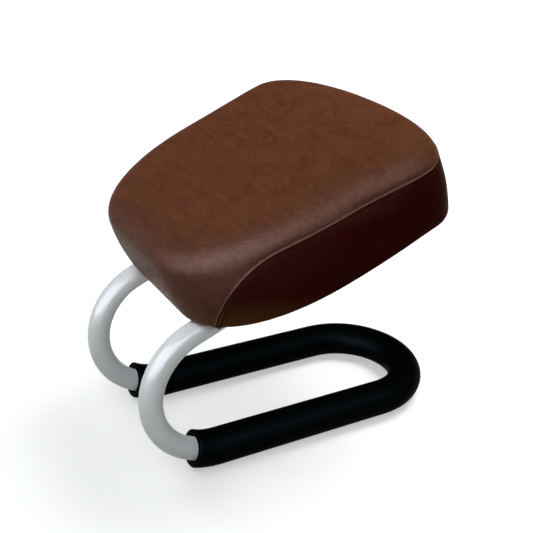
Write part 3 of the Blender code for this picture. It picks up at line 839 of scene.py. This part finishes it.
# where painted shade and a painted highlight with stretch wear lie: distance from the seam, and half the
# width
seamMarks = {"valley": (-0.0007, 0.0011), "lip": (0.00055, 0.00045), "crease": (-0.0050, 0.0010),
             "foldTop": (-0.0030, 0.0014)}
# small gathers in the front beside the seam's foot, and the tab that the two panels leave there
gather = {"depth": 0.0005, "pitch": 0.0062, "reach": 0.010, "high": 0.014, "lean": 60,
          "tab": 0.0022, "tabHalf": 0.0072, "tabAt": 0.0018}


# an edge that spans more than "gap" isn't cut, nor one so near its end that it leaves a sliver
scoring = {"gap": 0.02, "sliver": 0.04, "on": 0.00004}


def scoreLine(bm, layer, value):
    fresh = []
    for edge in list(bm.edges):
        a, b = (v[layer] - value for v in edge.verts)
        if a * b >= 0 or abs(a - b) > scoring["gap"]:
            continue
        share = a / (a - b)
        if min(share, 1 - share) < scoring["sliver"]:
            continue
        vert = bmesh.utils.edge_split(edge, edge.verts[0], share)[1]
        vert[layer] = value
        fresh.append(vert)
    near = [v for v in bm.verts if abs(v[layer] - value) < scoring["on"] and v not in set(fresh)]
    bmesh.ops.connect_verts(bm, verts=fresh + near)


def markShare(d, mark):
    spot, width = seamMarks[mark]
    return 1 - abs(d - spot) / width


def scoreSeam(cover):
    bm = bmesh.new()
    bm.from_mesh(cover.data)
    for label in ("paintedSeamShade", "lipSheenAndWear"):
        bm.verts.layers.float.new(label)
    labels = ("edgeRun", "seamFar", "paintedSeamShade", "lipSheenAndWear")
    run, far, shade, lip = (bm.verts.layers.float[label] for label in labels)
    for value in seamLines:
        scoreLine(bm, far, value)
    bm.normal_update()
    spots, lifts = zip(*seamProfile)
    foldSpots, foldLifts = zip(*foldProfile)
    moves = []
    for vert in bm.verts:
        d = vert[far]
        if not spots[0] < d < spots[-1]:
            continue
        low = (secondFold["top"] - vert.co.z) / (secondFold["top"] - secondFold["bottom"])
        low = min(1.0, max(0.0, low))
        second = float(np.interp(d, foldSpots, foldLifts, left=0, right=0))
        moves.append((vert, vert.normal * (float(np.interp(d, spots, lifts)) + low * second)))
        # painted shade in the seam's valley and in the crease beyond the second fold
        vert[shade] = max(0.0, markShare(d, "valley"), low * max(0.0, markShare(d, "crease")))
        # painted highlight with some stretch wear on the lip and on the second fold's top
        vert[lip] = max(0.0, markShare(d, "lip"), secondFold["sheenAndWear"] * low * markShare(d, "foldTop"))
    for vert in bm.verts:
        beside, near = vert[run] - seamFoot, math.exp(-max(0.0, vert.co.z) / gather["high"])
        if beside < 0 and vert[far] > seamLines[-1]:
            ripple = math.sin(2 * math.pi * beside / gather["pitch"] - gather["lean"] * vert.co.z)
            fade = near * math.exp(beside / gather["reach"])
            moves.append((vert, vert.normal * gather["depth"] * ripple * fade))
        if abs(beside - gather["tabAt"]) < gather["tabHalf"] and vert.co.z < seat["fold"] * 2:
            share = 1 - ((beside - gather["tabAt"]) / gather["tabHalf"])**4
            edge = max(0.0, 1 - abs(vert.co.z - seat["fold"] * 0.3) / (seat["fold"] * 1.7))
            moves.append((vert, Vector((0, 0, -gather["tab"] * share * edge))))
    for vert, move in moves:
        vert.co = vert.co + move
    bm.normal_update()
    return bm, far


bm, farLayer = scoreSeam(cover)
print("seam scored:", len(bm.faces), "faces")


def seamTrack(bm, value):
    # points and normals along a scored line, right foot to rear to left foot
    runLayer = bm.verts.layers.float["edgeRun"]
    on = [v for v in bm.verts if abs(v[farLayer] - value) < scoring["on"] / 2 and v.co.z > seat["fold"]]
    right = sorted((v for v in on if v.co.x >= 0), key=lambda v: v[runLayer])
    left = sorted((v for v in on if v.co.x < 0), key=lambda v: -v[runLayer])
    return [(v.co.copy(), v.normal.copy()) for v in right + left]


stitchLine = -0.0050
stitchTrack = seamTrack(bm, stitchLine)


def sectionLength(s, low):
    # along the cover's section from its middle out to a height
    spots = [ringSpot(ring, s, 0)[0] for ring in range(ringTotal + 1)]
    last = next((k for k in range(ringTotal + 1) if ringSpot(k, s, 0)[1] < low), ringTotal)
    return sum((b - a).length for a, b in zip(spots[:last], spots[1:last + 1]))


def panelFrom(source, name, mat, side):
    # the cover on one side of the seam, with its thickness, and its flat area
    part = source.copy()
    layer = part.verts.layers.float["seamFar"]
    gone = [f for f in part.faces if side * sum(v[layer] for v in f.verts) / len(f.verts) <= 0]
    bmesh.ops.delete(part, geom=gone, context="FACES")
    area = sum(f.calc_area() for f in part.faces)
    part.transform(seatFrame)
    piece = newPiece(name, part, mat)
    hollow(piece, seat["cover"], even=False)
    smoothShade(piece, 60)
    return piece, area


topPanel, topArea = panelFrom(bm, "coverTopPanel", topLeather, 1)
sideBand, bandArea = panelFrom(bm, "coverSideBand", shadedSideLeather, -1)
bm.free()
bpy.data.objects.remove(cover)
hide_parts("cover_top_panel")
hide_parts("cover_side_band")
shoulderRun = float(np.interp(seat["front"] + seat["shoulder"], footPlan[:, 1], runs))
rearTop = sectionLength(halfRun, seamHeight(halfRun))
turnedIn = 0.03              # spare length of the band at its two ends
topSize = (2 * sectionLength(shoulderRun, seamHeight(shoulderRun)), sectionLength(0, -1) + rearTop)
bandSize = (2 * (halfRun - seamFoot) + turnedIn, sectionLength(halfRun, -1) - rearTop)
for label, values in (("top panel", (*topSize, topArea)), ("side band", (*bandSize, bandArea))):
    print("flat", label, [round(v, 4) for v in values])
for panel in (topPanel, sideBand):
    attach(panel, "root")
print("cover panels:", len(topPanel.data.polygons), len(sideBand.data.polygons), "faces")


# Foam core under the cover

coreForm = {"inset": 0.0032, "wallRings": 4}


def makeSeatFoamCore():
    inset, wall = coreForm["inset"], coreForm["wallRings"]
    upper = cage["topRings"] + cage["rollRings"]
    low = seat["boardTop"] + stool["fit"]

    def spotOf(ring, s):
        if ring <= upper:
            return ringSpot(ring, s, inset)
        high = rollStart(s)
        height = high + (low - high) * (ring - upper) / wall
        return sidePoint(s, height, inset), height

    bm = bmesh.new()
    gridRings(bm, upper + wall, spotOf)
    bmesh.ops.holes_fill(bm, edges=[e for e in bm.edges if e.is_boundary], sides=0)
    bmesh.ops.recalc_face_normals(bm, faces=bm.faces)
    bm.transform(seatFrame)
    core = newPiece("seatFoamCore", bm, creamFoam)
    smoothShade(core, 50)
    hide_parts("seat_foam")
    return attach(core, "root")


makeSeatFoamCore()


# Topstitching below the seam

stitch = {"pitch": 0.0050, "length": 0.0030, "radius": 0.00033, "sink": 0.00010}
drawnIn = {"depth": 0.00022, "high": 0.05}       # pulled into the leather towards the seam's foot


def evenSpots(track, pitch):
    # even places along a track, each with its direction and outward way
    points, normals = (np.array([row[k] for row in track]) for k in (0, 1))
    steps = np.concatenate([[0], np.cumsum(np.linalg.norm(np.diff(points, axis=0), axis=1))])
    step = 0.0008
    spots = []

    def along(table, at):
        return np.array([np.interp(at, steps, table[:, k]) for k in range(3)])

    for at in np.arange(pitch, steps[-1] - pitch, pitch):
        here, ahead = along(points, at - step), along(points, at + step)
        out = Vector(along(normals, at)).normalized()
        spots.append((Vector((here + ahead) / 2), Vector(ahead - here).normalized(), out))
    return spots


def makeStitches():
    bm = bmesh.new()
    for place, way, out in evenSpots(stitchTrack, stitch["pitch"]):
        side = out.cross(way).normalized()
        out = way.cross(side).normalized()
        turn = Matrix((way, side, out)).transposed().to_4x4()
        low = min(1.0, max(0.0, 1 - place.z / drawnIn["high"]))
        height = stitch["radius"] * 0.35 - stitch["sink"] - low * drawnIn["depth"]
        where = Matrix.Translation(place + out * height)
        made = bmesh.ops.create_uvsphere(bm, u_segments=8, v_segments=6, radius=1,
                                         matrix=Matrix.Rotation(math.pi / 2, 4, "Y"))
        size = Matrix.Diagonal((stitch["length"] / 2, stitch["radius"] * 1.1, stitch["radius"], 1))
        bmesh.ops.transform(bm, matrix=seatFrame @ where @ turn @ size, verts=made["verts"])
    piece = newPiece("seamTopstitch", bm, thread)
    piece.data.shade_smooth()
    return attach(piece, "root")


makeStitches()
print("topstitch made")


# Dust sheet and its staples

dust = {"inset": 0.012, "rings": 34, "thick": 0.0006, "sag": 0.0022, "lifted": 0.03,
        "ripples": ((90, 40), (-30, 75)), "even": 0.45}
staple = {
    "count": 46, "crown": 0.0095, "wire": 0.0006, "flat": 0.0011, "inset": 0.0165, "crooked": 0.12,
    "clear": 0.024,          # none this near an arm where it crosses the front edge
    "frontEnd": 0.15,
}


def planSpot(s, inset):
    foot, out = atRun(footPlan, s), atRun(footNormal, s)
    return foot - out * inset


def makeDustSheet():
    bm = bmesh.new()

    def spotOf(ring, s):
        share = ring / dust["rings"]
        edge = planSpot(s, dust["inset"])
        spot = middle.xy.lerp(edge, share)
        clear = min(1.0, abs(abs(spot.x) - legX) / dust["lifted"])     # the arms hold it up
        ripple = 0.5 + 0.5 * math.prod(math.sin(spot.x * a + spot.y * b) for a, b in dust["ripples"])
        sag = dust["sag"] * (1 - share**3) * clear * clear * (dust["even"] + (1 - dust["even"]) * ripple)
        return Vector((spot.x, spot.y, -stool["fit"] - sag)), -1.0

    gridRings(bm, dust["rings"], spotOf)
    bmesh.ops.recalc_face_normals(bm, faces=bm.faces)
    if bm.faces[0].normal.z < 0:
        bmesh.ops.reverse_faces(bm, faces=bm.faces)
    area = sum(f.calc_area() for f in bm.faces)
    bm.transform(seatFrame)
    piece = newPiece("dustSheet", bm, felt)
    hollow(piece, dust["thick"])
    subtract(piece, rodMesh("sheetHoles", boltSpots, stool["boltHole"], -0.02, 0.01, 24))
    smoothShade(piece, 50)
    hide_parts("dust_sheet")
    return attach(piece, "root")


makeDustSheet()


def makeStaples():
    bm = bmesh.new()
    for k in range(staple["count"]):
        whole = 2 * halfRun * (k + 0.5) / staple["count"]
        side = 1 if whole < halfRun else -1
        s = whole if side > 0 else 2 * halfRun - whole
        spot, out = planSpot(s, staple["inset"]), atRun(footNormal, s)
        spot.x *= side
        overArm = abs(abs(spot.x) - legX) < staple["clear"] and abs(out.x) < 0.8
        if overArm and spot.y < staple["frontEnd"]:
            continue
        angle = math.atan2(out.y, out.x * side) + math.pi / 2
        angle += random.uniform(-staple["crooked"], staple["crooked"])
        low = -stool["fit"] - dust["thick"] - staple["wire"] / 2
        turn = Matrix.Translation((spot.x, spot.y, low)) @ Matrix.Rotation(angle, 4, "Z")
        made = bmesh.ops.create_cube(bm, size=1)
        verts = made["verts"]
        size = Matrix.Diagonal((staple["crown"], staple["flat"], staple["wire"], 1))
        bmesh.ops.transform(bm, matrix=size, verts=verts)
        edges = list({e for v in verts for e in v.link_edges})
        verts = list({v for f in roundEdges(bm, edges, staple["wire"] * 0.3, 2) for v in f.verts})
        bmesh.ops.transform(bm, matrix=seatFrame @ turn, verts=verts)
    piece = newPiece("sheetStaples", bm, zinc)
    smoothShade(piece, 40)
    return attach(piece, "root")


makeStaples()
print("dust sheet and staples made")


# Bolts, washers and plugs

bolt = {"radius": 0.003, "length": 0.040, "head": 0.00525, "headHigh": 0.0033, "edge": 0.0002,
        "flatTop": 0.45, "tip": (0.75, 0.3), "socket": 0.004, "socketDeep": 0.002}
washer = {"radius": 0.007, "waist": 0.0015, "edge": 0.0003}
plug = {
    "head": 0.0028, "stem": 0.015, "skin": 0.0015, "rib": 0.0005, "ribs": 3,
    # the domed head, as shares of its radius and height
    "dome": [(0, 1), (0.35, 0.98), (0.62, 0.88), (0.84, 0.66), (0.96, 0.36), (1, 0.12), (0.995, 0)],
}
bearing = armHeight - stool["tubeRadius"] - washer["waist"] - 2 * stool["fit"]
spotNames = ["left_front", "left_rear", "right_front", "right_rear"]


def spinProfile(bm, points, steps, where):
    verts = [bm.verts.new((r, 0, z)) for r, z in points]
    edges = [bm.edges.new(pair) for pair in zip(verts, verts[1:])]
    bmesh.ops.spin(bm, geom=verts + edges, cent=(0, 0, 0), axis=(0, 0, 1), angle=2 * math.pi, steps=steps,
                   use_merge=True, use_duplicate=False)
    bmesh.ops.remove_doubles(bm, verts=bm.verts, dist=0.000005)
    bmesh.ops.recalc_face_normals(bm, faces=bm.faces)
    bm.transform(where)


def makeBolt(name, spot):
    r, head, high, edge, flat = (bolt[key] for key in ("radius", "head", "headHigh", "edge", "flatTop"))
    top = bearing + bolt["length"]
    points = [(0, top), (r * bolt["tip"][0], top), (r, top - r * bolt["tip"][1]), (r, bearing)]
    points += [(head - edge, bearing), (head, bearing - edge)]
    for a in (math.radians(11 * k) for k in range(1, 8)):
        wide, down = flat + (1 - flat) * math.cos(a), (high - edge) * math.sin(a)
        points.append((head * wide, bearing - edge - down))
    points.append((0, points[-1][1]))
    bm = bmesh.new()
    spinProfile(bm, points, 40, seatFrame @ Matrix.Translation((*spot, 0)))
    piece = newPiece("bolt_" + name, bm, zinc)
    deep = bearing - high + bolt["socketDeep"]
    subtract(piece, rodMesh("socket", [spot], bolt["socket"] / math.sqrt(3), bearing - 3 * high, deep, 6))
    smoothShade(piece, 35)
    return piece


def makeWasher(name, spot):
    low = bearing + stool["fit"]
    bm = bmesh.new()
    bmesh.ops.create_cone(bm, cap_ends=True, segments=48, radius1=washer["radius"],
                          radius2=washer["radius"], depth=armHeight - low)
    roundEdges(bm, [e for e in bm.edges if e.calc_face_angle() > 1], washer["edge"], 2)
    bm.transform(seatFrame @ Matrix.Translation((*spot, (low + armHeight) / 2)))
    piece = newPiece("saddleWasher_" + name, bm, zinc)
    groove = stool["tubeRadius"] + stool["fit"]
    along = Matrix.Translation((0, 0, armHeight)) @ Matrix.Rotation(math.pi / 2, 4, "X")
    grooveMesh = rodMesh("groove", [(0, 0)], groove, -0.05, 0.05, 96)
    grooveMesh.transform(seatFrame @ Matrix.Translation((*spot, 0)) @ along @ seatFrame.inverted())
    subtract(piece, grooveMesh)
    subtract(piece, rodMesh("hole", [spot], stool["boltHole"], bearing - 0.01, armHeight, 32))
    smoothShade(piece, 35)
    return piece


def makePlug(name, x):
    radius = stool["tubeRadius"]
    bore = radius - stool["tubeWall"] - stool["fit"]
    stem = bore - plug["rib"]
    points = [(radius * wide, plug["head"] * high) for wide, high in plug["dome"]] + [(stem, 0)]
    rib = plug["stem"] / (2 * plug["ribs"])
    for k in range(plug["ribs"]):
        start = -rib * (2 * k + 0.5)
        points += [(stem, start), (bore, start - rib * 0.2), (stem, start - rib)]
    inner = stem - plug["skin"]
    points += [(stem, -plug["stem"]), (inner, -plug["stem"]), (inner, -plug["skin"]), (0, -plug["skin"])]
    bm = bmesh.new()
    where = Matrix.Translation((x, stool["armLength"] + stool["fit"], armHeight))
    spinProfile(bm, points, 56, seatFrame @ where @ Matrix.Rotation(-math.pi / 2, 4, "X"))
    piece = newPiece("endPlug_" + name, bm, plugPlastic)
    smoothShade(piece, 40)
    return piece


for name, spot in zip(spotNames, boltSpots):
    side, end = name.split("_")
    node = end + "_" + side
    made = makeBolt(name, spot)
    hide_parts("bolt_" + node)
    ring = makeWasher(name, spot)
    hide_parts("saddle_washer_" + node)
    for piece in (made, ring):
        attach(piece, "root")
for side, x in (("left", -legX), ("right", legX)):
    piece = makePlug(side, x)
    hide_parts("tube_end_plug_" + side)
    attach(piece, "root")
print("bolts, washers and plugs made")


# Finishes of the nodes that stay as they are

def dressNode(node, mat):
    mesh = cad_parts[node].data
    mesh.materials.clear()
    mesh.materials.append(mat)


dressNode("seat_board", plywood)
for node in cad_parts:
    if node.startswith("tee_nut"):
        dressNode(node, zinc)


# Floor, lights and camera

floorLook = {"size": 30.0, "color": (0.62, 0.62, 0.62), "bounce": (0.47, 0.46, 0.43), "glow": (0.46, 0.95),
             "mirrored": 0.50, "fade": (0.6, 2.4)}


def makeFloor():
    bm = bmesh.new()
    bmesh.ops.create_grid(bm, x_segments=2, y_segments=2, size=floorLook["size"] / 2)
    made, tree, shader, place = newMaterial("paleFloor", floorLook["color"], 0.9, specular=0.0)
    paths = addNode(tree, "LightPath").outputs
    direct = paths["Is Camera Ray"]
    seen = mathNode(tree, "MAXIMUM", paths["Is Glossy Ray"], paths["Is Transmission Ray"]).outputs[0]
    setInputs(tree, shader, Base_Color=mixColors(tree, direct, floorLook["bounce"], floorLook["color"]))
    # the lamps reach less far out, so the floor glows more there
    away = mathNode(tree, "LENGTH", place, kind="VectorMath").outputs["Value"]
    glow = remapNode(tree, away, *floorLook["fade"], *floorLook["glow"], smooth=True)
    # in reflections the lamps on the floor bring this up to white
    mirrored = multiply(tree, seen, floorLook["mirrored"])
    strength = mathNode(tree, "MAXIMUM", multiply(tree, direct, glow), mirrored).outputs[0]
    light = addNode(tree, "Emission", Color=(1, 1, 1), Strength=strength)
    both = addNode(tree, "AddShader")
    tree.links.new(shader.outputs["BSDF"], both.inputs[0])
    tree.links.new(light.outputs["Emission"], both.inputs[1])
    tree.links.new(both.outputs[0], tree.nodes["Material Output"].inputs["Surface"])
    floor = newPiece("floor", bm, made)


makeFloor()

lights = [
    {"name": "frontWindow", "place": (0.05, -0.92, 1.72), "size": (3.6, 0.85), "power": 30.5,
     "color": (0.94, 1.0, 1.05), "diffuse": True, "glossy": False},
    {"name": "frontShine", "place": (0.62, -1.50, 0.86), "size": (3.4, 1.46), "power": 840.0,
     "color": (1.03, 0.96, 1.04), "diffuse": False, "glossy": True},
    {"name": "sideShine", "place": (1.30, 0.20, 1.34), "size": (1.9, 0.9), "power": 128.0,
     "color": (0.98, 1.0, 1.02), "diffuse": False, "glossy": True},
    {"name": "rearCeiling", "place": (-0.10, 0.90, 1.80), "size": (1.0, 1.0), "power": 32.0,
     "color": (1.0, 1.0, 0.99), "diffuse": True, "glossy": False},
]


def aimed(place, aim):
    return (Vector(aim) - Vector(place)).to_track_quat("-Z", "Y").to_euler()


for values in lights:
    lamp = bpy.data.lights.new(values["name"], "AREA")
    lamp.shape = "RECTANGLE"
    lamp.size, lamp.size_y = values["size"]
    lamp.energy = values["power"]
    lamp.color = values["color"]
    holder = bpy.data.objects.new(values["name"], lamp)
    holder.location = values["place"]
    holder.rotation_euler = aimed(values["place"], (0, 0, 0.25))
    holder.visible_diffuse, holder.visible_glossy = values["diffuse"], values["glossy"]
    bpy.context.scene.collection.objects.link(holder)

surround = {"light": (0.125, 0.12, 0.115), "seen": 1.0, "overhead": 0.10, "band": (0.0, 0.035)}


def makeWorld():
    # white round the horizon where it shows, darker overhead, and a plain grey as light
    world = bpy.data.worlds.new("studio")
    world.use_nodes = True
    tree = world.node_tree
    paths = addNode(tree, "LightPath").outputs
    seen = mathNode(tree, "MAXIMUM", paths["Is Camera Ray"], paths["Is Glossy Ray"]).outputs[0]
    seen = mathNode(tree, "MAXIMUM", seen, paths["Is Transmission Ray"]).outputs[0]
    split = addNode(tree, "SeparateXYZ", Vector=addNode(tree, "TexCoord").outputs["Generated"])
    level = remapNode(tree, split.outputs["Z"], *surround["band"], surround["seen"], surround["overhead"],
                      smooth=True)
    level = mathNode(tree, "MAXIMUM", level, paths["Is Camera Ray"]).outputs[0]
    color = mixColors(tree, seen, surround["light"], level)
    setInputs(tree, tree.nodes["Background"], Color=color, Strength=1.0)
    bpy.context.scene.world = world


makeWorld()

camera = {
    "lens": 61.43,
    "place": (0.8073, -0.4928, 0.6171),
    "azimuth": math.radians(59.38),
    "elevation": math.radians(24.72),
    "roll": math.radians(2.57),
}


def makeCamera():
    a, e, roll = camera["azimuth"], camera["elevation"], camera["roll"]
    back = Vector((math.sin(a) * math.cos(e), -math.cos(a) * math.cos(e), math.sin(e)))
    level = Vector((math.cos(a), math.sin(a), 0))
    up = back.cross(level)
    right = level * math.cos(roll) + up * math.sin(roll)
    above = up * math.cos(roll) - level * math.sin(roll)
    data = bpy.data.cameras.new("camera")
    data.lens = camera["lens"]
    data.sensor_width = 36.0
    data.clip_start, data.clip_end = 0.05, 60.0
    holder = bpy.data.objects.new("camera", data)
    bpy.context.scene.collection.objects.link(holder)
    turn = Matrix((right, above, back)).transposed().to_4x4()
    holder.matrix_world = Matrix.Translation(camera["place"]) @ turn
    bpy.context.scene.camera = holder


makeCamera()
bpy.context.scene.view_settings.view_transform = "Standard"

print("camera set, all made")
